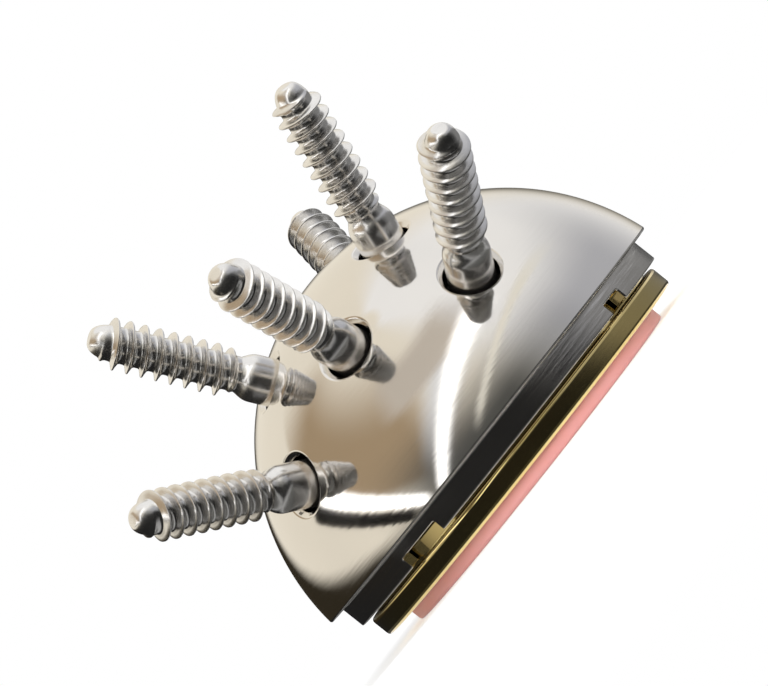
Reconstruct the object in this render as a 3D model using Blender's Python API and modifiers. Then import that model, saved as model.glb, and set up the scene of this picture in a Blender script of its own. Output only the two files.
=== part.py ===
# Modular acetabular cup of a hip replacement.
# A plastic bearing insert sits in a flanged metal liner, the liner sits in a hemispherical
# metal shell, and six bone screws pass through the shell from the inside.
# Units are metres and +Z points up. The cup stands mouth down: the origin is on the cup's
# axis in the plane of the insert's rim, and +Z runs up to the pole of the shell.

import math

import bmesh
import bpy
from mathutils import Matrix, Vector

# Clearances between the pieces
seat_gap = 0.0003
pole_gap = 0.0007
shoulder_gap = 0.0005
bore_clearance = 0.0002
head_sink = 0.0003

# Bearing insert
ball_radius = 0.0140
ball_clearance = 0.0001
socket_centre_height = 0.0020
socket_mouth_flare = 0.0016
insert_pole_wall = 0.0058
insert_skirt_inset = 0.0013
insert_rim_bevel = 0.0004

# Flanged liner
liner_side_wall = 0.0009
liner_rim_drop = 0.0016
liner_band_wall = 0.0016
liner_band_height = 0.0046
liner_band_taper = math.radians(3.7)
liner_band_bevel = 0.0002
flange_thickness = 0.0026
flange_overhang = 0.0012
flange_bevel = 0.0005

# Shell
shell_side_wall = 0.0036
shell_centre_drop = 0.0026
shell_rim_bevel = 0.0003
tab_wall = 0.0019
tab_height = 0.0014
ring_height = 0.0014
wide_notch_angle = math.radians(14.0)
narrow_notch_angle = math.radians(7.5)
wide_notch_places = [math.radians(-24.5), math.radians(155.5)]
narrow_notch_places = [math.radians(55.8), math.radians(-124.2)]
hole_chamfer = 0.0008

# Bone screws
screw_length = 0.0250
thread_radius = 0.00275
thread_pitch = 0.0016
thread_root_width = 0.0010
thread_length = 0.0150
thread_runout = 0.0016
thread_fade_share = 0.1
core_radius = 0.0019
core_overlap = 0.0002
neck_radius = 0.00255
neck_blend = 0.0012
tip_length = 0.0026
tip_flat_radius = 0.0006
head_radius = 0.0037
head_rim = 0.0006
head_edge = 0.0002
recess_across_flats = 0.0032
recess_depth = 0.0015

# Angle of each screw hole from the pole, and its place around the axis from the front, -Y
screw_places = [
    (math.radians(58.0), math.radians(39.0)),
    (math.radians(44.0), 0.0),
    (math.radians(58.0), math.radians(-39.0)),
    (math.radians(28.0), math.radians(50.0)),
    (math.radians(28.0), math.radians(-50.0)),
    (math.radians(44.0), math.pi),
]

# How finely curved surfaces are divided
turned_steps = 40
hole_steps = 20
screw_steps = 9
dome_steps = 10
socket_steps = 9
tip_steps = 4
cut_overrun = 0.0015
merge_distance = 0.00001
sharp_angle = math.radians(30.0)

# Sizes of the insert, worked out from the ball outwards
socket_radius = ball_radius + ball_clearance
insert_dome_radius = socket_centre_height + socket_radius + insert_pole_wall
insert_skirt_radius = insert_dome_radius - insert_skirt_inset
insert_skirt_height = math.sqrt(insert_dome_radius**2 - insert_skirt_radius**2)

# Sizes of the liner, worked out from the insert outwards
liner_rim_height = liner_rim_drop
flange_top_height = liner_rim_height + flange_thickness
band_top_height = flange_top_height + liner_band_height
liner_bore_radius = insert_skirt_radius + seat_gap
liner_cavity_radius = insert_dome_radius + seat_gap
liner_cavity_start = math.sqrt(liner_cavity_radius**2 - liner_bore_radius**2)
liner_dome_radius = liner_cavity_radius + liner_side_wall
band_top_radius = liner_bore_radius + liner_band_wall
band_base_radius = band_top_radius + liner_band_height * math.tan(liner_band_taper)
flange_radius = band_base_radius + flange_overhang
dome_start_height = band_top_height - liner_rim_height

# Sizes of the shell, worked out from the liner outwards
tab_face_height = flange_top_height + seat_gap
ring_face_height = tab_face_height + tab_height
shell_rim_height = ring_face_height + ring_height
shell_centre_height = shell_rim_height - shell_centre_drop
ring_bore_radius = band_base_radius + seat_gap
ring_radius = ring_bore_radius + tab_wall
bore_top_radius = band_top_radius + seat_gap
bore_top_height = band_top_height + shoulder_gap
shell_cavity_radius = liner_dome_radius + seat_gap
shell_cavity_height = liner_rim_height + pole_gap
shell_radius = shell_cavity_radius + shell_side_wall
shell_rim_radius = math.sqrt(shell_radius**2 - shell_centre_drop**2)
cavity_start_radius = math.sqrt(
    shell_cavity_radius**2 - (bore_top_height - shell_cavity_height) ** 2
)

# Sizes of the screws and of the holes that they pass through
hole_radius = thread_radius + bore_clearance
counterbore_radius = head_radius + seat_gap
head_taper = head_radius - neck_radius
head_height = head_rim + head_taper
seat_offset = seat_gap * math.sqrt(2.0)
thread_end = screw_length - tip_length / 2.0
thread_start = thread_end - thread_length


# Scene and object helpers


def clear_scene():
    for old in list(bpy.data.objects):
        bpy.data.objects.remove(old, do_unlink=True)


def new_collection(name):
    collection = bpy.data.collections.new(name)
    bpy.context.scene.collection.children.link(collection)
    return collection


def new_material(name, colour, roughness, metallic):
    material = bpy.data.materials.new(name)
    material.use_nodes = True
    shader = material.node_tree.nodes["Principled BSDF"]
    shader.inputs["Base Color"].default_value = (*colour, 1.0)
    shader.inputs["Roughness"].default_value = roughness
    shader.inputs["Metallic"].default_value = metallic
    material.diffuse_color = (*colour, 1.0)
    return material


def add_object(name, mesh, collection, material=None):
    item = bpy.data.objects.new(name, mesh)
    collection.objects.link(item)
    if material:
        mesh.materials.clear()
        mesh.materials.append(material)
    return item


def mark_as_cutter(item):
    item.hide_render = True
    item.display_type = "WIRE"


# Shape helpers


def arc_points(radius, centre_height, start_angle, end_angle, steps):
    """Points on an arc about the axis, as (radius, height); angles start at the pole."""
    points = []
    for step in range(steps + 1):
        angle = start_angle + (end_angle - start_angle) * step / steps
        points.append(
            (radius * math.sin(angle), centre_height + radius * math.cos(angle))
        )
    return points


def turned_object(name, points, steps, collection, material=None):
    """A solid of revolution about Z from a profile of (radius, height) points."""
    mesh = bpy.data.meshes.new(name)
    vertices = [(radius, 0.0, height) for radius, height in points]
    edges = [(index, index + 1) for index in range(len(points) - 1)]
    mesh.from_pydata(vertices, edges, [])
    item = add_object(name, mesh, collection, material)
    turn = item.modifiers.new("turn", "SCREW")
    turn.axis = "Z"
    turn.angle = 2.0 * math.pi
    turn.steps = steps
    turn.render_steps = steps
    turn.use_merge_vertices = True
    turn.merge_threshold = merge_distance
    return item


def cut(target, cutter, operation="DIFFERENCE"):
    boolean = target.modifiers.new(cutter.name, "BOOLEAN")
    boolean.object = cutter
    boolean.operation = operation
    boolean.solver = "EXACT"


def evaluated_mesh(item):
    """The item's mesh with its modifiers applied, round faces smooth and corners sharp."""
    graph = bpy.context.evaluated_depsgraph_get()
    mesh = bpy.data.meshes.new_from_object(item.evaluated_get(graph))
    mesh.shade_smooth()
    mesh.set_sharp_from_angle(angle=sharp_angle)
    return mesh


def apply_modifiers(item):
    mesh = evaluated_mesh(item)
    item.modifiers.clear()
    item.data = mesh


def hole_direction(from_pole, around):
    return Vector(
        (
            math.sin(from_pole) * math.sin(around),
            -math.sin(from_pole) * math.cos(around),
            math.cos(from_pole),
        )
    )


def cavity_distance(from_pole):
    """Distance from the shell's centre to its inner surface along a screw's axis."""
    offset = shell_centre_height - shell_cavity_height
    along = offset * math.cos(from_pole)
    return math.sqrt(along**2 - offset**2 + shell_cavity_radius**2) - along


def screw_frame(from_pole, around):
    """Places a screw: its local +Z points outwards and its origin is on the head's face."""
    direction = hole_direction(from_pole, around)
    start = cavity_distance(from_pole) + head_sink
    place = Vector((0.0, 0.0, shell_centre_height)) + direction * start
    turn = direction.to_track_quat("Z", "Y").to_matrix().to_4x4()
    return Matrix.Translation(place) @ turn


# Bearing insert


def insert_profile():
    skirt_angle = math.acos(insert_skirt_height / insert_dome_radius)
    outer = arc_points(insert_dome_radius, 0.0, 0.0, skirt_angle, dome_steps)
    flare_radius = socket_radius + socket_mouth_flare
    rim = [
        (insert_skirt_radius, insert_rim_bevel),
        (insert_skirt_radius - insert_rim_bevel, 0.0),
        (flare_radius, 0.0),
        (socket_radius, socket_mouth_flare),
    ]
    socket = arc_points(
        socket_radius, socket_centre_height, math.pi / 2.0, 0.0, socket_steps
    )
    return outer + rim + socket


def make_insert(collection):
    plastic = new_material("insert_plastic", (0.98, 0.52, 0.52), 0.45, 0.0)
    return turned_object(
        "insert", insert_profile(), turned_steps, collection, plastic
    )


# Flanged liner


def liner_profile():
    dome_angle = math.acos(dome_start_height / liner_dome_radius)
    outer = arc_points(
        liner_dome_radius, liner_rim_height, 0.0, dome_angle, dome_steps
    )
    band = [
        (band_top_radius - liner_band_bevel, band_top_height),
        (band_top_radius, band_top_height - liner_band_bevel),
        (band_base_radius, flange_top_height),
    ]
    flange = [
        (flange_radius - flange_bevel, flange_top_height),
        (flange_radius, flange_top_height - flange_bevel),
        (flange_radius, liner_rim_height + flange_bevel),
        (flange_radius - flange_bevel, liner_rim_height),
        (liner_bore_radius, liner_rim_height),
    ]
    cavity_angle = math.acos(liner_cavity_start / liner_cavity_radius)
    cavity = arc_points(liner_cavity_radius, 0.0, cavity_angle, 0.0, dome_steps)
    return outer + band + flange + cavity


def make_liner(collection):
    gold = new_material("liner_gold", (0.83, 0.68, 0.32), 0.15, 1.0)
    return turned_object("liner", liner_profile(), turned_steps, collection, gold)


# Shell


def shell_profile():
    rim_angle = math.acos((shell_centre_drop + shell_rim_bevel) / shell_radius)
    outer = arc_points(
        shell_radius, shell_centre_height, 0.0, rim_angle, dome_steps + 2
    )
    rim = [
        (shell_rim_radius - shell_rim_bevel, shell_rim_height),
        (ring_radius, shell_rim_height),
        (ring_radius, tab_face_height),
        (ring_bore_radius, tab_face_height),
        (bore_top_radius, bore_top_height),
    ]
    cavity_angle = math.asin(cavity_start_radius / shell_cavity_radius)
    cavity = arc_points(
        shell_cavity_radius, shell_cavity_height, cavity_angle, 0.0, dome_steps
    )
    return outer + rim + cavity


def make_hole_cutter(index, from_pole, around, cutters):
    """A stepped hole along a screw's axis; heights are from the screw head's face."""
    outside = shell_radius - cavity_distance(from_pole) - head_sink
    chamfer_radius = hole_radius + hole_chamfer
    chamfer_height = outside - hole_chamfer
    seat_height = head_rim + seat_offset
    seat_depth = counterbore_radius - hole_radius
    points = [
        (0.0, outside + cut_overrun),
        (chamfer_radius + cut_overrun, outside + cut_overrun),
        (hole_radius, chamfer_height),
        (hole_radius, seat_height + seat_depth),
        (counterbore_radius, seat_height),
        (counterbore_radius, -cut_overrun),
        (0.0, -cut_overrun),
    ]
    cutter = turned_object(f"hole_{index}", points, hole_steps, cutters)
    cutter.matrix_world = screw_frame(from_pole, around)
    mark_as_cutter(cutter)
    return cutter


def make_notch_cutter(index, around, angle, cutters):
    """A block that opens the tabbed edge down to the ring's own face."""
    width = 2.0 * ring_radius * math.tan(angle / 2.0)
    depth = tab_wall + 2.0 * cut_overrun
    height = tab_height + cut_overrun
    mesh = bpy.data.meshes.new(f"notch_{index}")
    shape = bmesh.new()
    bmesh.ops.create_cube(shape, size=1.0)
    bmesh.ops.scale(shape, vec=(width, depth, height), verts=shape.verts)
    middle = Vector(
        (0.0, -(ring_bore_radius + tab_wall / 2.0), ring_face_height - height / 2.0)
    )
    bmesh.ops.translate(shape, vec=middle, verts=shape.verts)
    shape.to_mesh(mesh)
    shape.free()
    cutter = add_object(f"notch_{index}", mesh, cutters)
    cutter.rotation_euler = (0.0, 0.0, around)
    mark_as_cutter(cutter)
    return cutter


def make_shell(collection, cutters):
    steel = new_material("shell_metal", (0.80, 0.77, 0.73), 0.12, 1.0)
    shell = turned_object("shell", shell_profile(), turned_steps, collection, steel)
    for index, (from_pole, around) in enumerate(screw_places, start=1):
        cut(shell, make_hole_cutter(index, from_pole, around, cutters))
    notches = [(place, wide_notch_angle) for place in wide_notch_places]
    notches += [(place, narrow_notch_angle) for place in narrow_notch_places]
    for index, (place, angle) in enumerate(notches, start=1):
        cut(shell, make_notch_cutter(index, place, angle, cutters))
    return shell


# Bone screws


def tip_share(height):
    """How much of its full radius the shank keeps at a height: all, until the round tip."""
    tip_start = screw_length - tip_length
    if height <= tip_start:
        return 1.0
    flat_share = tip_flat_radius / core_radius
    into_tip = min((height - tip_start) / tip_length, 1.0)
    round_share = math.sqrt(1.0 - into_tip**2)
    return flat_share + (1.0 - flat_share) * round_share


def screw_core_profile():
    """The screw without its thread, from the tip down to the head's face."""
    tip_start = screw_length - tip_length
    points = [(0.0, screw_length)]
    for step in range(tip_steps + 1):
        angle = math.pi / 2.0 * (1.0 - step / tip_steps)
        height = tip_start + tip_length * math.sin(angle)
        points.append((core_radius * tip_share(height), height))
    points += [
        (core_radius, thread_start),
        (neck_radius, thread_start - neck_blend),
        (neck_radius, head_height),
        (head_radius, head_rim),
        (head_radius, head_edge),
        (head_radius - head_edge, 0.0),
        (0.0, 0.0),
    ]
    return points


def make_thread(collection):
    """A closed helical ridge, swept from one profile and faded at both of its ends."""
    mesh = bpy.data.meshes.new("thread")
    shape = bmesh.new()
    inner = core_radius - core_overlap
    corners = [
        (inner, -thread_root_width / 2.0),
        (thread_radius, 0.0),
        (inner, thread_root_width / 2.0),
    ]
    first = thread_start + thread_root_width
    verts = [shape.verts.new((radius, 0.0, first + height)) for radius, height in corners]
    face = shape.faces.new(verts)
    turns = (thread_end - first) / thread_pitch
    steps = round(turns * screw_steps)
    bmesh.ops.spin(
        shape,
        geom=list(shape.verts) + list(shape.edges) + [face],
        cent=(0.0, 0.0, 0.0),
        axis=(0.0, 0.0, 1.0),
        dvec=(0.0, 0.0, (thread_end - first) / steps),
        angle=2.0 * math.pi * turns,
        steps=steps,
    )
    bmesh.ops.recalc_face_normals(shape, faces=shape.faces)
    for vert in shape.verts:
        radius = math.hypot(vert.co.x, vert.co.y)
        into_thread = (vert.co.z - first + thread_root_width) / thread_runout
        height = (radius - inner) * max(thread_fade_share, min(1.0, into_thread))
        share = (inner + height) * tip_share(vert.co.z) / radius
        vert.co.x *= share
        vert.co.y *= share
    shape.to_mesh(mesh)
    shape.free()
    return add_object("thread", mesh, collection)


def make_recess_cutter(cutters):
    """Six-sided socket in the head's face."""
    mesh = bpy.data.meshes.new("recess")
    shape = bmesh.new()
    corner_radius = recess_across_flats / 2.0 / math.cos(math.pi / 6.0)
    bmesh.ops.create_cone(
        shape,
        cap_ends=True,
        segments=6,
        radius1=corner_radius,
        radius2=corner_radius,
        depth=2.0 * recess_depth,
    )
    shape.to_mesh(mesh)
    shape.free()
    cutter = add_object("recess", mesh, cutters)
    mark_as_cutter(cutter)
    return cutter


def make_screws(collection, cutters):
    titanium = new_material("screw_metal", (0.52, 0.53, 0.55), 0.3, 1.0)
    pattern = turned_object("screw_pattern", screw_core_profile(), screw_steps, cutters)
    thread = make_thread(cutters)
    mark_as_cutter(thread)
    cut(pattern, thread, "UNION")
    cut(pattern, make_recess_cutter(cutters))
    mesh = evaluated_mesh(pattern)
    mark_as_cutter(pattern)
    screws = []
    for index, (from_pole, around) in enumerate(screw_places, start=1):
        screw = add_object(f"screw_{index}", mesh, collection, titanium)
        screw.matrix_world = screw_frame(from_pole, around)
        screws.append(screw)
    return screws


# Moving bodies


def make_joint_empty(name, height, collection):
    joint = bpy.data.objects.new(name, None)
    joint.empty_display_size = flange_thickness
    joint.location = (0.0, 0.0, height)
    collection.objects.link(joint)
    return joint


def hang_on(child, parent):
    """Parents child to parent without moving it."""
    child.parent = parent
    child.matrix_parent_inverse = parent.matrix_world.inverted()


def main():
    clear_scene()
    parts = new_collection("acetabular_cup")
    cutters = new_collection("cutters")
    insert = make_insert(parts)
    liner = make_liner(parts)
    shell = make_shell(parts, cutters)
    bpy.context.view_layer.update()
    for turned_piece in (insert, liner, shell):
        apply_modifiers(turned_piece)
    screws = make_screws(parts, cutters)
    liner_slide = make_joint_empty("liner_lift", liner_rim_height, parts)
    shell_slide = make_joint_empty("shell_lift", tab_face_height, parts)
    bpy.context.view_layer.update()
    hang_on(liner, liner_slide)
    hang_on(shell_slide, liner_slide)
    bpy.context.view_layer.update()
    for piece in [shell] + screws:
        hang_on(piece, shell_slide)


main()
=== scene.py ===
# Looks of a modular acetabular cup: a polished shell, a gold flanged liner, a pink bearing
# insert and six bone screws. Each piece is built finely, from the same sizes as the plain
# solid that it stands for. Units are metres and +Z points up to the pole of the shell.

import math

import bmesh
import bpy
from mathutils import Matrix, Quaternion, Vector


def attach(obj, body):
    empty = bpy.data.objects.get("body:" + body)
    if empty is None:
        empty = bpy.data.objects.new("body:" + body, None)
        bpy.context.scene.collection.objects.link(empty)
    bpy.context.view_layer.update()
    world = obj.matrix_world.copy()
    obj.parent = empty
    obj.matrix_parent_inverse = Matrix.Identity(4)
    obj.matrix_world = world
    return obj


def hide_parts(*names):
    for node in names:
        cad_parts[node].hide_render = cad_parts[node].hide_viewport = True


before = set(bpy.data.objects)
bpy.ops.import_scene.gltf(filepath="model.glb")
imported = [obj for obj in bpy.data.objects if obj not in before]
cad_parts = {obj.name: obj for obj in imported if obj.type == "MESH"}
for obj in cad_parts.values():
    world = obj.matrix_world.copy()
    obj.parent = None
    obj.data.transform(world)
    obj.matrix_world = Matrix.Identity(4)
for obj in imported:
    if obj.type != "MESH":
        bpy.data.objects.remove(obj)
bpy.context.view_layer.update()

# Clearances between the pieces
seat_gap = 0.0003
pole_gap = 0.0007
shoulder_gap = 0.0005
bore_clearance = 0.0002
head_sink = 0.0003

# Bearing insert
ball_radius = 0.0140
ball_clearance = 0.0001
socket_centre_height = 0.0020
socket_mouth_flare = 0.0016
insert_pole_wall = 0.0058
insert_skirt_inset = 0.0013
insert_rim_bevel = 0.0004

# Flanged liner
liner_side_wall = 0.0009
liner_rim_drop = 0.0016
liner_band_wall = 0.0016
liner_band_height = 0.0046
liner_band_taper = math.radians(3.7)
liner_band_bevel = 0.0002
flange_thickness = 0.0026
flange_overhang = 0.0012
flange_bevel = 0.0005

# Shell
shell_side_wall = 0.0036
shell_centre_drop = 0.0026
shell_rim_bevel = 0.0003
tab_wall = 0.0019
tab_height = 0.0014
ring_height = 0.0014
ring_bevel = 0.00018
notch_fillet = 0.0002
wide_notch_angle = math.radians(14.0)
narrow_notch_angle = math.radians(7.5)
wide_notch_places = [math.radians(-24.5), math.radians(155.5)]
narrow_notch_places = [math.radians(55.8), math.radians(-124.2)]
hole_chamfer = 0.0008
hole_edge = 0.00022

# Bone screws
screw_length = 0.0250
thread_radius = 0.00275
thread_pitch = 0.0016
thread_length = 0.0150
thread_runout = 0.0016
thread_fade = 0.0010
core_radius = 0.0019
neck_radius = 0.00255
neck_blend = 0.0012
tip_length = 0.0026
tip_flat_radius = 0.0006
head_radius = 0.0037
head_rim = 0.0006
head_edge = 0.00015
recess_across_flats = 0.0032
recess_depth = 0.0015
recess_chamfer = 0.00015
recess_point = 0.0005
recess_sides = 6

# Thread form over one pitch: place along the pitch and height, both as shares
thread_form_shares = [
    (0.00, 0.00),
    (0.14, 0.00),
    (0.26, 0.10),
    (0.40, 0.62),
    (0.47, 0.94),
    (0.51, 1.00),
    (0.57, 1.00),
    (0.61, 0.92),
    (0.70, 0.50),
    (0.80, 0.08),
    (0.90, 0.00),
]

# Angle of each screw hole from the pole, and its place around the axis from the front, -Y
screw_places = [
    (math.radians(58.0), math.radians(39.0)),
    (math.radians(44.0), 0.0),
    (math.radians(58.0), math.radians(-39.0)),
    (math.radians(28.0), math.radians(50.0)),
    (math.radians(28.0), math.radians(-50.0)),
    (math.radians(44.0), math.pi),
]

# How finely the surfaces are divided
turned_steps = 240
dome_steps = 84
cavity_steps = 64
hole_steps = 72
screw_steps = 64
corner_steps = 5
tip_steps = 10
card_steps = 48
roof_spans = 4
edge_angles = [math.radians(angle) for angle in (20.0, 45.0, 70.0, 90.0)]

# How the surfaces are cut, joined and shaded
cut_overrun = 0.0015
merge_distance = 0.000001
sphere_tolerance = 0.00001
hold_length = 0.00002
trim_limit_share = 0.9
sharp_angle = math.radians(35.0)
own_place = "own_place"

# Sizes worked out from the ball outwards, as on the solids
socket_radius = ball_radius + ball_clearance
insert_dome_radius = socket_centre_height + socket_radius + insert_pole_wall
insert_skirt_radius = insert_dome_radius - insert_skirt_inset
insert_skirt_height = math.sqrt(insert_dome_radius**2 - insert_skirt_radius**2)
liner_rim_height = liner_rim_drop
flange_top_height = liner_rim_height + flange_thickness
band_top_height = flange_top_height + liner_band_height
liner_bore_radius = insert_skirt_radius + seat_gap
liner_cavity_radius = insert_dome_radius + seat_gap
liner_cavity_start = math.sqrt(liner_cavity_radius**2 - liner_bore_radius**2)
liner_dome_radius = liner_cavity_radius + liner_side_wall
band_top_radius = liner_bore_radius + liner_band_wall
band_base_radius = band_top_radius + liner_band_height * math.tan(liner_band_taper)
flange_radius = band_base_radius + flange_overhang
dome_start_height = band_top_height - liner_rim_height
tab_face_height = flange_top_height + seat_gap
ring_face_height = tab_face_height + tab_height
shell_rim_height = ring_face_height + ring_height
shell_centre_height = shell_rim_height - shell_centre_drop
ring_bore_radius = band_base_radius + seat_gap
ring_radius = ring_bore_radius + tab_wall
cut_flare = 2.0 * ring_bevel
bore_top_radius = band_top_radius + seat_gap
bore_top_height = band_top_height + shoulder_gap
shell_cavity_radius = liner_dome_radius + seat_gap
shell_cavity_height = liner_rim_height + pole_gap
shell_radius = shell_cavity_radius + shell_side_wall
shell_rim_radius = math.sqrt(shell_radius**2 - shell_centre_drop**2)
cavity_start_radius = math.sqrt(
    shell_cavity_radius**2 - (bore_top_height - shell_cavity_height) ** 2
)
hole_radius = thread_radius + bore_clearance
counterbore_radius = head_radius + seat_gap
head_height = head_rim + head_radius - neck_radius
seat_offset = seat_gap * math.sqrt(2.0)
thread_end = screw_length - tip_length / 2.0
thread_start = thread_end - thread_length


# Mesh helpers


def arc_run(radius, centre_height, start_angle, end_angle, steps):
    """Points on an arc about the axis, as (radius, height); angles start at the pole."""
    points = []
    for step in range(steps + 1):
        angle = start_angle + (end_angle - start_angle) * step / steps
        points.append(
            (radius * math.sin(angle), centre_height + radius * math.cos(angle))
        )
    return points


def trimmed(run, length):
    """A run of points that starts further along, by a length."""
    points = [Vector(point) for point in run]
    while len(points) > 2 and (points[1] - points[0]).length <= length:
        length -= (points[1] - points[0]).length
        points.pop(0)
    share = length / (points[1] - points[0]).length
    points[0] = points[0].lerp(points[1], min(share, trim_limit_share))
    return points


def held(run):
    """The run with a point close after its start, which keeps its shading straight."""
    return [Vector(run[0])] + trimmed(run, hold_length)


def bend(start, corner, end):
    """A soft curve from start to end that turns at the corner."""
    points = []
    for step in range(corner_steps + 1):
        share = step / corner_steps
        first = start.lerp(corner, share)
        points.append(first.lerp(corner.lerp(end, share), share))
    return points


def straight_runs(corners):
    """Runs of two points each, from every corner to the next."""
    return [[start, end] for start, end in zip(corners, corners[1:])]


def rounded_outline(runs, reaches):
    """Joins runs of points end to end, each corner rounded over its reach."""
    outline = [Vector(point) for point in runs[0]]
    for run, reach in zip(runs[1:], reaches):
        if reach == 0.0:
            outline += [Vector(point) for point in run[1:]]
            continue
        before = trimmed(outline[::-1], reach)
        after = trimmed(run, reach)
        turn = bend(before[0], Vector(run[0]), after[0])
        outline = held(before)[::-1] + turn[1:-1] + held(after)
    return outline


def new_object(name, data):
    """An object in the scene for a mesh, a camera or a lamp."""
    item = bpy.data.objects.new(name, data)
    bpy.context.scene.collection.objects.link(item)
    return item


def evaluated_mesh(item):
    graph = bpy.context.evaluated_depsgraph_get()
    return bpy.data.meshes.new_from_object(item.evaluated_get(graph))


def turned_mesh(name, outline, steps):
    """A solid of revolution about Z from an outline of (radius, height) points."""
    line = bpy.data.meshes.new(name)
    vertices = [(radius, 0.0, height) for radius, height in outline]
    edges = [(index, index + 1) for index in range(len(outline) - 1)]
    line.from_pydata(vertices, edges, [])
    blank = new_object(name, line)
    turn = blank.modifiers.new("turn", "SCREW")
    turn.axis = "Z"
    turn.angle = 2.0 * math.pi
    turn.steps = steps
    turn.render_steps = steps
    turn.use_merge_vertices = True
    turn.merge_threshold = merge_distance
    mesh = evaluated_mesh(blank)
    bpy.data.objects.remove(blank)
    mesh.name = name
    mesh.shade_smooth()
    return mesh


def cap_ring(shape, row):
    """Closes a ring of points with strips between its two matching halves."""
    low = 0
    high = len(row) - 1
    while high - low > 1:
        corners = [row[low], row[low + 1], row[high - 1], row[high]]
        shape.faces.new(list(dict.fromkeys(corners)))
        low += 1
        high -= 1


def lofted_mesh(name, rings):
    """A closed mesh through rings of points, capped at both ends."""
    shape = bmesh.new()
    rows = [[shape.verts.new(point) for point in ring] for ring in rings]
    count = len(rows[0])
    for lower, upper in zip(rows, rows[1:]):
        for index in range(count):
            after = (index + 1) % count
            shape.faces.new((lower[index], lower[after], upper[after], upper[index]))
    cap_ring(shape, rows[0])
    cap_ring(shape, rows[-1])
    bmesh.ops.recalc_face_normals(shape, faces=shape.faces)
    if shape.calc_volume(signed=True) < 0.0:
        bmesh.ops.reverse_faces(shape, faces=shape.faces)
    mesh = bpy.data.meshes.new(name)
    shape.to_mesh(mesh)
    shape.free()
    return mesh


def joined_mesh(name, meshes):
    shape = bmesh.new()
    for mesh in meshes:
        shape.from_mesh(mesh)
    joined = bpy.data.meshes.new(name)
    shape.to_mesh(joined)
    shape.free()
    return joined


def cut_mesh(name, mesh, cutter_mesh):
    """The mesh with the cutter's space taken out of it, shaded smooth between sharp edges."""
    blank = new_object(name, mesh)
    cutter = new_object(f"{name}_cutter", cutter_mesh)
    boolean = blank.modifiers.new("cut", "BOOLEAN")
    boolean.object = cutter
    boolean.operation = "DIFFERENCE"
    boolean.solver = "EXACT"
    bpy.context.view_layer.update()
    result = evaluated_mesh(blank)
    bpy.data.objects.remove(blank)
    bpy.data.objects.remove(cutter)
    result.name = name
    result.shade_smooth()
    result.set_sharp_from_angle(angle=sharp_angle)
    return result


# Places of the screws and their holes


def hole_direction(from_pole, around):
    return Vector(
        (
            math.sin(from_pole) * math.sin(around),
            -math.sin(from_pole) * math.cos(around),
            math.cos(from_pole),
        )
    )


def head_distance(from_pole):
    """Distance from the shell's centre to a screw head's face, along the screw's axis."""
    offset = shell_centre_height - shell_cavity_height
    along = offset * math.cos(from_pole)
    reach = math.sqrt(along**2 - offset**2 + shell_cavity_radius**2) - along
    return reach + head_sink


def screw_frame(from_pole, around):
    """Places a screw: its local +Z points outwards and its origin is on the head's face."""
    outwards = hole_direction(from_pole, around)
    centre = Vector((0.0, 0.0, shell_centre_height))
    place = centre + outwards * head_distance(from_pole)
    turn = outwards.to_track_quat("Z", "Y").to_matrix().to_4x4()
    return Matrix.Translation(place) @ turn


# Bearing insert


def insert_mesh():
    skirt_angle = math.acos(insert_skirt_height / insert_dome_radius)
    corners = [
        (insert_skirt_radius, insert_skirt_height),
        (insert_skirt_radius, 0.0),
        (socket_radius + socket_mouth_flare, 0.0),
        (socket_radius, socket_mouth_flare),
        (socket_radius, socket_centre_height),
    ]
    runs = [arc_run(insert_dome_radius, 0.0, 0.0, skirt_angle, dome_steps)]
    runs += straight_runs(corners)
    runs.append(arc_run(socket_radius, socket_centre_height, math.pi / 2.0, 0.0, cavity_steps))
    skirt_blend = insert_rim_bevel / 2.0
    reaches = [skirt_blend, insert_rim_bevel, skirt_blend, skirt_blend, 0.0]
    return turned_mesh("bearing_insert", rounded_outline(runs, reaches), turned_steps)


# Flanged liner


def liner_mesh():
    dome_angle = math.acos(dome_start_height / liner_dome_radius)
    dome_edge = liner_dome_radius * math.sin(dome_angle)
    cavity_angle = math.acos(liner_cavity_start / liner_cavity_radius)
    corners = [
        (dome_edge, band_top_height),
        (band_top_radius, band_top_height),
        (band_base_radius, flange_top_height),
        (flange_radius, flange_top_height),
        (flange_radius, liner_rim_height),
        (liner_bore_radius, liner_rim_height),
        (liner_bore_radius, liner_cavity_start),
    ]
    runs = [arc_run(liner_dome_radius, liner_rim_height, 0.0, dome_angle, dome_steps)]
    runs += straight_runs(corners)
    runs.append(arc_run(liner_cavity_radius, 0.0, cavity_angle, 0.0, cavity_steps))
    fine = liner_band_bevel / 2.0
    reaches = [fine, liner_band_bevel, fine, flange_bevel, flange_bevel, fine, 0.0]
    return turned_mesh("gold_liner", rounded_outline(runs, reaches), turned_steps)


# Shell


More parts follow.
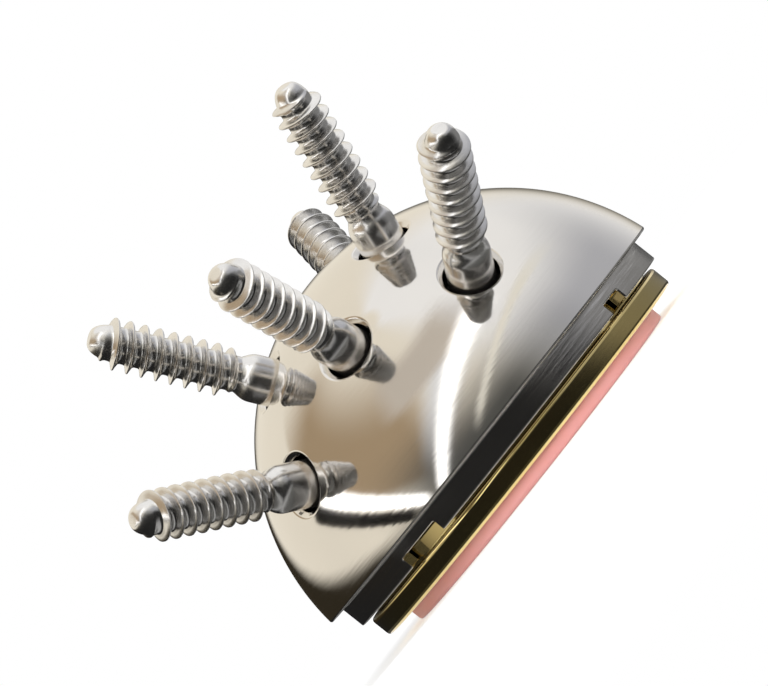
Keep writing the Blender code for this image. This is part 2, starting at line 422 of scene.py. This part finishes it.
def hole_cutter_mesh(from_pole, around):
    """A stepped screw hole whose countersunk mouth runs softly into the dome."""
    start = head_distance(from_pole)
    slope = shell_radius - hole_chamfer - hole_radius
    mouth = (math.sqrt(2.0 * shell_radius**2 - slope**2) - slope) / 2.0
    lip_angle = math.asin(mouth / shell_radius) + hole_edge / shell_radius
    lip = Vector(
        (
            shell_radius * math.sin(lip_angle),
            shell_radius * math.cos(lip_angle) - start,
        )
    )
    corner = Vector((mouth, mouth + slope - start))
    cone_foot = Vector((hole_radius, hole_radius + slope - start))
    inner = corner + (cone_foot - corner).normalized() * hole_edge
    above = lip + Vector((cut_overrun / 2.0, cut_overrun))
    seat_height = head_rim + seat_offset
    corners = [
        cone_foot,
        (hole_radius, seat_height + counterbore_radius - hole_radius),
        (counterbore_radius, seat_height),
        (counterbore_radius, -cut_overrun),
        (0.0, -cut_overrun),
    ]
    runs = [[(0.0, above.y), above] + bend(lip, corner, inner) + [cone_foot]]
    runs += straight_runs(corners)
    edge = hole_edge / 2.0
    outline = rounded_outline(runs, [edge, edge, edge, 0.0])
    mesh = turned_mesh("hole", outline, hole_steps)
    mesh.transform(screw_frame(from_pole, around))
    return mesh


def edge_steps():
    """Depth into the metal and widening of a cut, over the rounding of an edge."""
    steps = [(-ring_bevel, cut_flare)]
    for angle in edge_angles:
        depth = ring_bevel * (1.0 - math.cos(angle))
        steps.append((depth, ring_bevel * (1.0 - math.sin(angle))))
    steps.append((ring_bevel + hold_length, 0.0))
    return steps


def notch_cutter_mesh(around, angle):
    """A block that opens the tabbed edge up to the ring's face, with softened edges."""
    half_width = ring_radius * math.tan(angle / 2.0)
    roof_start = ring_face_height - notch_fillet
    roof_side = half_width - notch_fillet
    half = [(half_width + wider, tab_face_height + up, 0.0) for up, wider in edge_steps()]
    half += [(half_width, roof_start - hold_length, 0.0), (half_width, roof_start, 0.0)]
    for turn in edge_angles:
        across = roof_side + notch_fillet * math.cos(turn)
        half.append((across, roof_start + notch_fillet * math.sin(turn), turn))
    for step in range(roof_spans):
        across = (roof_side - hold_length) * (1.0 - step / roof_spans)
        half.append((across, ring_face_height, math.pi / 2.0))
    outline = half + [(0.0, ring_face_height, math.pi / 2.0)]
    outline += [(-across, height, math.pi - turn) for across, height, turn in reversed(half)]
    layers = [(ring_radius + cut_overrun, cut_flare)]
    layers += [(ring_radius - depth, wider) for depth, wider in edge_steps()]
    layers += [(ring_bore_radius + depth, wider) for depth, wider in reversed(edge_steps())]
    layers.append((ring_bore_radius - cut_overrun, cut_flare))
    rings = []
    for radius, wider in layers:
        ring = []
        for across, height, turn in outline:
            wide = across + wider * math.cos(turn)
            high = height + wider * math.sin(turn)
            ring.append((wide, -math.sqrt(radius**2 - wide**2), high))
        rings.append(ring)
    mesh = lofted_mesh("notch", rings)
    mesh.transform(Matrix.Rotation(around, 4, "Z"))
    return mesh


def set_sphere_normals(mesh, spheres):
    """Faces on a sphere get that sphere's own normals, so that cut faces still mirror cleanly."""
    normals = [(0.0, 0.0, 0.0)] * len(mesh.loops)
    for face in mesh.polygons:
        corners = [mesh.vertices[index].co for index in face.vertices]
        for centre, radius, side in spheres:
            away = [corner - centre for corner in corners]
            if max(abs(line.length - radius) for line in away) < sphere_tolerance:
                for loop, line in zip(face.loop_indices, away):
                    normals[loop] = line.normalized() * side
    mesh.normals_split_custom_set(normals)


def shell_mesh():
    rim_angle = math.acos(shell_centre_drop / shell_radius)
    cavity_angle = math.asin(cavity_start_radius / shell_cavity_radius)
    corners = [
        (shell_rim_radius, shell_rim_height),
        (ring_radius, shell_rim_height),
        (ring_radius, tab_face_height),
        (ring_bore_radius, tab_face_height),
        (bore_top_radius, bore_top_height),
        (cavity_start_radius, bore_top_height),
    ]
    runs = [arc_run(shell_radius, shell_centre_height, 0.0, rim_angle, dome_steps)]
    runs += straight_runs(corners)
    runs.append(
        arc_run(shell_cavity_radius, shell_cavity_height, cavity_angle, 0.0, cavity_steps)
    )
    fine = ring_bevel / 2.0
    reaches = [shell_rim_bevel, ring_bevel, ring_bevel, ring_bevel, fine, 0.0]
    blank = turned_mesh("shell_blank", rounded_outline(runs, reaches), turned_steps)
    cutters = [hole_cutter_mesh(*place) for place in screw_places]
    for angle, places in (
        (wide_notch_angle, wide_notch_places),
        (narrow_notch_angle, narrow_notch_places),
    ):
        cutters += [notch_cutter_mesh(place, angle) for place in places]
    mesh = cut_mesh("shell_body", blank, joined_mesh("cuts", cutters))
    dome = (Vector((0.0, 0.0, shell_centre_height)), shell_radius, 1.0)
    cavity = (Vector((0.0, 0.0, shell_cavity_height)), shell_cavity_radius, -1.0)
    set_sphere_normals(mesh, [dome, cavity])
    return mesh


# Bone screws


def smooth_share(value):
    """Eases from 0 to 1 while the value goes from 0 to 1."""
    share = max(0.0, min(1.0, value))
    return share * share * (3.0 - 2.0 * share)


def tip_share(height):
    """How much of its full radius the shank keeps at a height: all, until the round tip."""
    tip_start = screw_length - tip_length
    if height <= tip_start:
        return 1.0
    flat_share = tip_flat_radius / core_radius
    into_tip = min((height - tip_start) / tip_length, 1.0)
    return flat_share + (1.0 - flat_share) * math.sqrt(1.0 - into_tip**2)


def screw_rings():
    """Rings of points from the head's face to the tip; the thread's rings climb as they turn."""
    corners = [
        (0.0, 0.0),
        (head_radius, 0.0),
        (head_radius, head_rim),
        (neck_radius, head_height),
        (neck_radius, thread_start - neck_blend),
        (core_radius, thread_start),
    ]
    blend = neck_blend / 2.0
    reaches = [head_edge, head_edge, blend, blend]
    rings = []
    for radius, height in rounded_outline(straight_runs(corners), reaches):
        rings.append([(radius, height)] * (screw_steps + 1))
    turns = math.ceil(thread_length / thread_pitch) + 1
    # A ring climbs by a pitch as it goes round, so the first rings start a turn below the thread
    for turn in range(-1, turns):
        for place, height_share in thread_form_shares:
            ring = []
            for column in range(screw_steps + 1):
                climb = (turn + place + column / screw_steps) * thread_pitch
                climb = max(0.0, min(thread_length, climb))
                height = thread_start + climb
                grown = smooth_share(climb / thread_runout)
                faded = smooth_share((thread_length - climb) / thread_fade)
                crest = (thread_radius - core_radius) * height_share * grown * faded
                ring.append(((core_radius + crest) * tip_share(height), height))
            rings.append(ring)
    tip_start = screw_length - tip_length
    first_turn = math.asin((thread_end - tip_start) / tip_length)
    for step in range(1, tip_steps + 1):
        turn = first_turn + (math.pi / 2.0 - first_turn) * step / tip_steps
        height = tip_start + tip_length * math.sin(turn)
        rings.append([(core_radius * tip_share(height), height)] * (screw_steps + 1))
    rings.append([(0.0, screw_length)] * (screw_steps + 1))
    return rings


def recess_cutter_mesh():
    """Six-sided socket with a chamfered mouth and a drilled point."""
    corner_radius = recess_across_flats / 2.0 / math.cos(math.pi / recess_sides)
    layers = [
        (-recess_chamfer, corner_radius + 2.0 * recess_chamfer),
        (recess_chamfer, corner_radius),
        (recess_depth, corner_radius),
        (recess_depth + recess_point, recess_chamfer),
    ]
    rings = []
    for height, radius in layers:
        ring = []
        for side in range(recess_sides):
            turn = 2.0 * math.pi / recess_sides * side
            ring.append((radius * math.cos(turn), radius * math.sin(turn), height))
        rings.append(ring)
    return lofted_mesh("recess", rings)


def screw_mesh():
    shape = bmesh.new()
    rows = []
    for ring in screw_rings():
        row = []
        for column, (radius, height) in enumerate(ring):
            turn = 2.0 * math.pi * column / screw_steps
            place = (radius * math.cos(turn), radius * math.sin(turn), height)
            row.append(shape.verts.new(place))
        rows.append(row)
    for lower, upper in zip(rows, rows[1:]):
        for column in range(screw_steps):
            after = column + 1
            shape.faces.new((lower[column], lower[after], upper[after], upper[column]))
    bmesh.ops.remove_doubles(shape, verts=shape.verts, dist=merge_distance)
    blank = bpy.data.meshes.new("screw_blank")
    shape.to_mesh(blank)
    shape.free()
    return cut_mesh("bone_screw", blank, recess_cutter_mesh())


# Materials


def new_material(name):
    """A material with the usual shader, its node tree and that shader."""
    material = bpy.data.materials.new(name)
    material.use_nodes = True
    tree = material.node_tree
    return material, tree, tree.nodes["Principled BSDF"]


def bare_material(mesh, name):
    """Puts a material without the usual shader on a mesh, and gives its node tree."""
    material, tree, shader = new_material(name)
    tree.nodes.remove(shader)
    mesh.materials.append(material)
    return tree


def set_input(tree, socket, value):
    """Links the socket to the one that is given, or sets it to the value that is given."""
    if isinstance(value, bpy.types.NodeSocket):
        tree.links.new(value, socket)
    else:
        socket.default_value = value


def add_node(tree, kind, **values):
    """A node with some of its inputs set; an underscore in a name stands for a space."""
    node = tree.nodes.new(kind)
    for name, value in values.items():
        set_input(tree, node.inputs[name.replace("_", " ")], value)
    return node


def add_math(tree, operation, *values):
    node = tree.nodes.new("ShaderNodeMath")
    node.operation = operation
    for socket, value in zip(node.inputs, values):
        set_input(tree, socket, value)
    return node.outputs[0]


def ramp(tree, value, start, end, low=0.0, high=1.0, kind="SMOOTHSTEP"):
    """Goes from low to high, and no further, while the value goes from start to end."""
    limits = {"From_Min": start, "From_Max": end, "To_Min": low, "To_Max": high}
    node = add_node(tree, "ShaderNodeMapRange", Value=value, **limits)
    node.interpolation_type = kind
    return node.outputs[0]


def turned_coordinates(tree, place, along_turn):
    """Distance from the axis and height, with a little of the place along the turn."""
    split = add_node(tree, "ShaderNodeSeparateXYZ", Vector=place)
    across, deep, height = split.outputs
    squares = add_math(
        tree,
        "ADD",
        add_math(tree, "MULTIPLY", across, across),
        add_math(tree, "MULTIPLY", deep, deep),
    )
    distance = add_math(tree, "SQRT", squares)
    turn = add_math(tree, "ARCTAN2", deep, across)
    along = add_math(tree, "MULTIPLY", turn, along_turn)
    return add_node(tree, "ShaderNodeCombineXYZ", X=distance, Y=along, Z=height).outputs[0]


def noise(tree, place, scale, detail):
    return add_node(
        tree, "ShaderNodeTexNoise", Vector=place, Scale=scale, Detail=detail
    ).outputs[0]


def mapped(tree, value, low, high):
    """A noise value spread between two limits."""
    return ramp(tree, value, *noise_span, low, high, "LINEAR")


def mixed_colour(tree, factor, first, second):
    node = tree.nodes.new("ShaderNodeMix")
    node.data_type = "RGBA"
    tree.links.new(factor, node.inputs[0])
    ends = [socket for socket in node.inputs if socket.type == "RGBA"]
    ends[0].default_value = (*first, 1.0)
    ends[1].default_value = (*second, 1.0)
    return [socket for socket in node.outputs if socket.type == "RGBA"][0]


def turned_finish(name, look):
    """A turned and polished surface: faint tool lines around the axis, smudges in the gloss."""
    material, tree, shader = new_material(name)
    shader.inputs["Metallic"].default_value = look["metallic"]
    shader.inputs["Roughness"].default_value = look["gloss"][0]
    for word, value in look.get("subsurface", {}).items():
        shader.inputs[f"Subsurface {word}"].default_value = value
    own = tree.nodes.new("ShaderNodeAttribute")
    own.attribute_name = own_place
    place = own.outputs["Vector"]
    smudge = noise(tree, place, look["smudge_scale"], smudge_detail)
    turned = turned_coordinates(tree, place, look["along"])
    lines = noise(tree, turned, look["line_scale"], line_detail)
    colour = mixed_colour(tree, mapped(tree, smudge, 0.0, 1.0), *look["colours"])
    tree.links.new(colour, shader.inputs["Base Color"])
    both = add_math(tree, "ADD", smudge, add_math(tree, "MULTIPLY", lines, look["line_gloss"]))
    gloss = mapped(tree, both, *look["gloss"])
    tree.links.new(gloss, shader.inputs["Roughness"])
    bump = add_node(
        tree, "ShaderNodeBump", Height=lines, Strength=look["bump"], Distance=look["bump_depth"]
    )
    tree.links.new(bump.outputs[0], shader.inputs["Normal"])
    return material


# The noise of every finish: its detail, and the span of its values that is spread out
smudge_detail = 3.0
line_detail = 2.0
noise_span = (0.3, 0.7)

shell_look = {
    "metallic": 1.0,
    "colours": ((0.80, 0.77, 0.73), (0.76, 0.735, 0.70)),
    "gloss": (0.05, 0.09),
    "smudge_scale": 90.0,
    "line_scale": 2000.0,
    "along": 0.002,
    "line_gloss": 0.15,
    "bump": 0.12,
    "bump_depth": 0.00003,
}
liner_look = {
    "metallic": 1.0,
    "colours": ((0.83, 0.68, 0.32), (0.78, 0.61, 0.26)),
    "gloss": (0.04, 0.08),
    "smudge_scale": 80.0,
    "line_scale": 3000.0,
    "along": 0.002,
    "line_gloss": 0.15,
    "bump": 0.03,
    "bump_depth": 0.00003,
}
insert_look = {
    "metallic": 0.0,
    "colours": ((0.98, 0.50, 0.53), (0.96, 0.465, 0.495)),
    "gloss": (0.42, 0.52),
    "smudge_scale": 120.0,
    "line_scale": 2200.0,
    "along": 0.001,
    "line_gloss": 0.3,
    "bump": 0.12,
    "bump_depth": 0.00005,
    "subsurface": {"Weight": 0.12, "Radius": (1.0, 0.45, 0.4), "Scale": 0.002},
}
screw_look = {
    "metallic": 1.0,
    "colours": ((0.85, 0.835, 0.81), (0.76, 0.745, 0.73)),
    "gloss": (0.16, 0.25),
    "smudge_scale": 500.0,
    "line_scale": 5000.0,
    "along": 0.001,
    "line_gloss": 0.3,
    "bump": 0.08,
    "bump_depth": 0.00003,
}


# Pieces


def finished(mesh, material):
    """Puts the material on and stores each point's place, which the tool lines follow."""
    mesh.materials.clear()
    mesh.materials.append(material)
    places = mesh.attributes.new(own_place, "FLOAT_VECTOR", "POINT")
    for vertex, place in zip(mesh.vertices, places.data):
        place.vector = vertex.co
    return mesh


def place_piece(name, mesh, body, node):
    piece = new_object(name, mesh)
    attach(piece, body)
    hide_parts(node)


def make_pieces():
    for name, build, node, slot, look in (
        ("shell_body", shell_mesh, "shell", "shell_metal", shell_look),
        ("gold_liner", liner_mesh, "liner", "liner_gold", liner_look),
        ("bearing_insert", insert_mesh, "insert", "insert_plastic", insert_look),
    ):
        mesh = finished(build(), turned_finish(slot, look))
        place_piece(name, mesh, node, node)
    screw = finished(screw_mesh(), turned_finish("screw_metal", screw_look))
    for index, place in enumerate(screw_places, start=1):
        mesh = screw.copy()
        mesh.transform(screw_frame(*place))
        place_piece(f"bone_screw_{index}", mesh, "shell", f"screw_{index}")


# Studio

# Camera, with its directions in degrees and its sensor in millimetres
view_azimuth = 9.0
view_elevation = -1.0
view_roll = 51.6
view_distance = 0.49
view_centre = Vector((0.0, 0.0, 0.0215))
view_width = 0.082
sensor_width = 36.0
clip_factor = 100.0

# World and floor; the shadow on the floor fades out over the shadow's reach
white = (1.0, 1.0, 1.0, 1.0)
world_strength = 0.45
floor_glow = 0.50
floor_size = 6.0
floor_drop = 0.00002
floor_colour = (0.8, 0.8, 0.8, 1.0)
floor_opening = 0.0202
shadow_reach = (0.10, 0.30)

# Cards, with the reaches from the axis in metres and the turns and low edges in degrees
floor_card_reaches = (0.034, 0.9)
near_card_reaches = (0.0255, 0.045)
rim_card_reaches = (0.0255, 0.0290)
floor_card_height = 0.0003
full_turn = (0.0, 360.0)
level_foot = (0.0, 0.0)
sunk_foot = (-6.0, -6.0)
card_black = (0.015, 0.015, 0.015)
card_white = (1.0, 1.0, 1.0)

# Lamps: name, azimuth and elevation in degrees, distance, size and power in watts
lamps = [
    ("key_light", 45.0, 48.0, 0.7, 0.35, 1.9),
    ("front_light", 22.0, 7.0, 0.8, 0.2, 2.6),
    ("back_light", 205.0, 14.0, 0.8, 0.4, 2.0),
]


def direction(azimuth, elevation):
    """Towards a place around the cup: azimuth 0 is in front and 90 to the right, in degrees."""
    turn = math.radians(azimuth)
    rise = math.radians(elevation)
    return Vector(
        (
            math.sin(turn) * math.cos(rise),
            -math.cos(turn) * math.cos(rise),
            math.sin(rise),
        )
    )


def make_camera():
    camera = bpy.data.cameras.new("camera")
    camera.sensor_width = sensor_width
    camera.lens = sensor_width * view_distance / view_width
    camera.clip_start = view_distance / clip_factor
    camera.clip_end = view_distance * clip_factor
    item = new_object("camera", camera)
    back = direction(view_azimuth, view_elevation)
    item.location = view_centre + back * view_distance
    item.rotation_mode = "QUATERNION"
    roll = Quaternion((0.0, 0.0, 1.0), -math.radians(view_roll))
    item.rotation_quaternion = (-back).to_track_quat("-Z", "Y") @ roll
    bpy.context.scene.camera = item


def seen_directly(tree):
    """1 for rays from the camera, from a mirror or through glass, and else 0."""
    path = tree.nodes.new("ShaderNodeLightPath")
    glossy = add_math(
        tree,
        "MAXIMUM",
        path.outputs["Is Glossy Ray"],
        path.outputs["Is Transmission Ray"],
    )
    return add_math(tree, "MAXIMUM", path.outputs["Is Camera Ray"], glossy)


def mixed_shader(tree, factor, first, second):
    mix = tree.nodes.new("ShaderNodeMixShader")
    tree.links.new(factor, mix.inputs[0])
    tree.links.new(first, mix.inputs[1])
    tree.links.new(second, mix.inputs[2])
    return mix.outputs[0]


def make_world():
    world = bpy.data.worlds.new("studio")
    world.use_nodes = True
    tree = world.node_tree
    light = tree.nodes["Background"]
    light.inputs["Color"].default_value = white
    light.inputs["Strength"].default_value = world_strength
    shown = add_node(tree, "ShaderNodeBackground", Color=white, Strength=1.0)
    mix = mixed_shader(tree, seen_directly(tree), light.outputs[0], shown.outputs[0])
    tree.links.new(mix, tree.nodes["World Output"].inputs[0])
    bpy.context.scene.world = world


def make_floor():
    """A white floor that keeps the cup's shadow and runs into the white background.

    It is clear from below, and under the insert, so that the socket is lit too."""
    mesh = bpy.data.meshes.new("floor")
    shape = bmesh.new()
    bmesh.ops.create_grid(shape, x_segments=1, y_segments=1, size=floor_size / 2.0)
    shape.to_mesh(mesh)
    shape.free()
    floor = new_object("floor", mesh)
    floor.location = (0.0, 0.0, -floor_drop)
    tree = bare_material(mesh, "floor_white")
    paint = add_node(tree, "ShaderNodeBsdfDiffuse", Color=floor_colour)
    glow = add_node(tree, "ShaderNodeEmission", Color=white, Strength=floor_glow)
    lift = tree.nodes.new("ShaderNodeAddShader")
    tree.links.new(paint.outputs[0], lift.inputs[0])
    tree.links.new(glow.outputs[0], lift.inputs[1])
    place = tree.nodes.new("ShaderNodeTexCoord").outputs["Object"]
    away = tree.nodes.new("ShaderNodeVectorMath")
    away.operation = "LENGTH"
    tree.links.new(place, away.inputs[0])
    far = ramp(tree, away.outputs["Value"], *shadow_reach)
    open_floor = add_node(tree, "ShaderNodeEmission", Color=white, Strength=1.0)
    shown = mixed_shader(tree, far, lift.outputs[0], open_floor.outputs[0])
    top = mixed_shader(tree, seen_directly(tree), paint.outputs[0], shown)
    clear = tree.nodes.new("ShaderNodeBsdfTransparent")
    side = tree.nodes.new("ShaderNodeNewGeometry").outputs["Backfacing"]
    under = add_math(tree, "LESS_THAN", away.outputs["Value"], floor_opening)
    open_part = add_math(tree, "MAXIMUM", side, under)
    both = mixed_shader(tree, open_part, top, clear.outputs[0])
    tree.links.new(both, tree.nodes["Material Output"].inputs[0])


def soft_edge(tree, value, start_share, end_share):
    """Rises from 0 to 1 over a share of the range 0 to 1 at its start, and falls at its end."""
    cover = 1.0
    from_end = add_math(tree, "SUBTRACT", 1.0, value)
    for distance, share in ((value, start_share), (from_end, end_share)):
        if share > 0.0:
            cover = add_math(tree, "MULTIPLY", cover, ramp(tree, distance, 0.0, share))
    return cover


def between(limits, share):
    """The value at a share of the way from one limit to the other."""
    return limits[0] + (limits[1] - limits[0]) * share


def wide_card(azimuths, lows, high, distance):
    """Places of a card that spans azimuths, from a level or sloping low edge, in degrees."""

    def place(across, up):
        low = between(lows, across)
        return direction(between(azimuths, across), between((low, high), up)) * distance

    return place


def strip_card(first, last, widths, distance):
    """Places of a long card between two directions, with its width at each end in degrees."""
    start = direction(*first)
    end = direction(*last)
    middle = (start + end).normalized()
    along = (end - start).normalized()
    side = middle.cross(along)
    half_length = start.angle(end) / 2.0

    def place(across, up):
        turn = half_length * (2.0 * across - 1.0)
        rise = math.radians(between(widths, across)) * (up - 0.5)
        line = middle * math.cos(turn) + along * math.sin(turn)
        return (line * math.cos(rise) + side * math.sin(rise)) * distance

    return place


def floor_card(azimuths, reaches, layer):
    """Places of a ring-shaped card close above the floor, where a higher layer covers a lower."""

    def place(across, up):
        spot = direction(between(azimuths, across), 0.0) * between(reaches, up)
        spot.z = layer * floor_card_height
        return spot

    return place


def make_card(name, place, colour, soft_shares, strength=1.0):
    """A card that only mirrors show, soft over shares of its left, right, low and high sides."""
    mesh = bpy.data.meshes.new(name)
    shape = bmesh.new()
    layer = shape.loops.layers.uv.new("card")
    shares = [step / card_steps for step in range(card_steps + 1)]
    rows = [[shape.verts.new(place(across, up)) for across in shares] for up in shares]
    for row in range(card_steps):
        for column in range(card_steps):
            spots = [(row, column), (row, column + 1), (row + 1, column + 1), (row + 1, column)]
            face = shape.faces.new([rows[up][across] for up, across in spots])
            for loop, (up, across) in zip(face.loops, spots):
                loop[layer].uv = (across / card_steps, up / card_steps)
    shape.to_mesh(mesh)
    shape.free()
    card = new_object(name, mesh)
    tree = bare_material(mesh, name)
    spot = tree.nodes.new("ShaderNodeTexCoord").outputs["UV"]
    across, up, _ = add_node(tree, "ShaderNodeSeparateXYZ", Vector=spot).outputs
    left, right, low, high = soft_shares
    cover = add_math(
        tree, "MULTIPLY", soft_edge(tree, across, left, right), soft_edge(tree, up, low, high)
    )
    glow = add_node(tree, "ShaderNodeEmission", Color=(*colour, 1.0), Strength=strength)
    clear = tree.nodes.new("ShaderNodeBsdfTransparent")
    card_shader = mixed_shader(tree, cover, clear.outputs[0], glow.outputs[0])
    tree.links.new(card_shader, tree.nodes["Material Output"].inputs[0])
    card.visible_camera = False
    card.visible_diffuse = False
    card.visible_shadow = False
    card.visible_transmission = False


def make_softbox(name, azimuth, elevation, distance, size, power):
    light = bpy.data.lights.new(name, "AREA")
    light.shape = "SQUARE"
    light.size = size
    light.energy = power
    item = new_object(name, light)
    towards = direction(azimuth, elevation)
    item.location = view_centre + towards * distance
    item.rotation_mode = "QUATERNION"
    item.rotation_quaternion = towards.to_track_quat("Z", "Y")
    item.visible_camera = False
    item.visible_glossy = False


def make_floor_cards():
    """Dull cards around the cup's foot, which the shell's rim and the flange mirror."""
    grey = floor_card(azimuths=(45.0, 190.0), reaches=floor_card_reaches, layer=1)
    make_card("floor_grey", grey, colour=(0.22, 0.22, 0.22), soft_shares=(0.1, 0.2, 0.02, 0.02))
    dark = floor_card(azimuths=(-215.0, 95.0), reaches=floor_card_reaches, layer=2)
    make_card("floor_dark", dark, colour=card_black, soft_shares=(0.12, 0.14, 0.02, 0.02))
    near = floor_card(azimuths=full_turn, reaches=near_card_reaches, layer=3)
    make_card("near_grey", near, colour=(0.11, 0.11, 0.105), soft_shares=(0.0, 0.0, 0.0, 0.4))
    rim = floor_card(azimuths=full_turn, reaches=rim_card_reaches, layer=4)
    make_card("rim_dark", rim, colour=(0.06, 0.06, 0.06), soft_shares=(0.0, 0.0, 0.0, 0.3))


def make_round_cards():
    """Cards around and over the cup, where a nearer card covers the farther ones."""
    sky = wide_card(azimuths=(-215.0, 60.0), lows=level_foot, high=98.0, distance=1.0)
    make_card("sky_card", sky, colour=(0.92, 0.86, 0.74), soft_shares=(0.12, 0.16, 0.02, 0.04))
    left = wide_card(azimuths=(-138.0, 16.0), lows=(46.0, 2.0), high=82.0, distance=0.98)
    make_card("left_card", left, colour=(0.42, 0.315, 0.20), soft_shares=(0.26, 0.25, 0.1, 0.6))
    right = wide_card(azimuths=(30.0, 175.0), lows=sunk_foot, high=38.0, distance=0.96)
    make_card("right_card", right, colour=(0.49, 0.50, 0.54), soft_shares=(0.32, 0.42, 0.0, 0.60))
    back = wide_card(azimuths=(-205.0, -150.0), lows=sunk_foot, high=23.0, distance=0.94)
    make_card("back_flag", back, colour=(0.14, 0.13, 0.11), soft_shares=(0.5, 0.3, 0.0, 0.5))
    low = wide_card(azimuths=(-180.0, -35.0), lows=sunk_foot, high=14.0, distance=0.92)
    make_card("low_flag", low, colour=(0.03, 0.024, 0.015), soft_shares=(0.1, 0.3, 0.0, 0.3))
    glow = strip_card(first=(-28.5, 8.0), last=(77.0, 46.0), widths=(17.0, 34.0), distance=0.90)
    make_card("front_glow", glow, colour=(0.86, 0.88, 0.92), soft_shares=(0.2, 0.2, 0.5, 0.5))
    shade = wide_card(azimuths=(-35.0, 75.0), lows=(43.0, 43.0), high=67.0, distance=0.89)
    make_card("top_shade", shade, colour=(0.62, 0.56, 0.49), soft_shares=(0.2, 0.35, 0.2, 0.35))
    front = wide_card(azimuths=(-68.0, 92.0), lows=sunk_foot, high=41.0, distance=0.88)
    make_card("front_flag", front, colour=(0.09, 0.09, 0.085), soft_shares=(0.32, 0.42, 0.0, 0.6))
    ring = wide_card(azimuths=(-85.0, 62.0), lows=sunk_foot, high=4.0, distance=0.87)
    make_card("ring_flag", ring, colour=card_black, soft_shares=(0.2, 0.3, 0.0, 0.4))


def make_strips():
    """The long lights of the dome's bright streaks, and the dark line along the left one."""
    pale = strip_card(first=(2.0, 13.5), last=(120.0, 23.3), widths=(4.6, 6.0), distance=0.86)
    make_card("pale_line", pale, colour=(0.90, 0.87, 0.78), soft_shares=(0.15, 0.35, 0.4, 0.4))
    front = strip_card(first=(-28.5, 6.5), last=(76.0, 43.0), widths=(7.4, 15.5), distance=0.84)
    make_card(
        "front_strip", front, colour=card_white, soft_shares=(0.08, 0.2, 0.42, 0.42), strength=2.2
    )
    left = strip_card(first=(-95.0, 36.0), last=(-30.0, 9.5), widths=(9.0, 6.0), distance=0.84)
    make_card(
        "left_strip", left, colour=card_white, soft_shares=(0.1, 0.12, 0.12, 0.4), strength=2.4
    )
    line = strip_card(first=(-100.8, 30.0), last=(-34.7, 6.2), widths=(6.4, 4.4), distance=0.82)
    make_card("left_line", line, colour=(0.0, 0.0, 0.0), soft_shares=(0.04, 0.2, 0.05, 0.05))


def make_studio():
    make_camera()
    make_world()
    make_floor()
    make_floor_cards()
    make_round_cards()
    make_strips()
    for lamp in lamps:
        make_softbox(*lamp)
    bpy.context.scene.view_settings.view_transform = "Standard"


make_pieces()
make_studio()
bpy.context.view_layer.update()
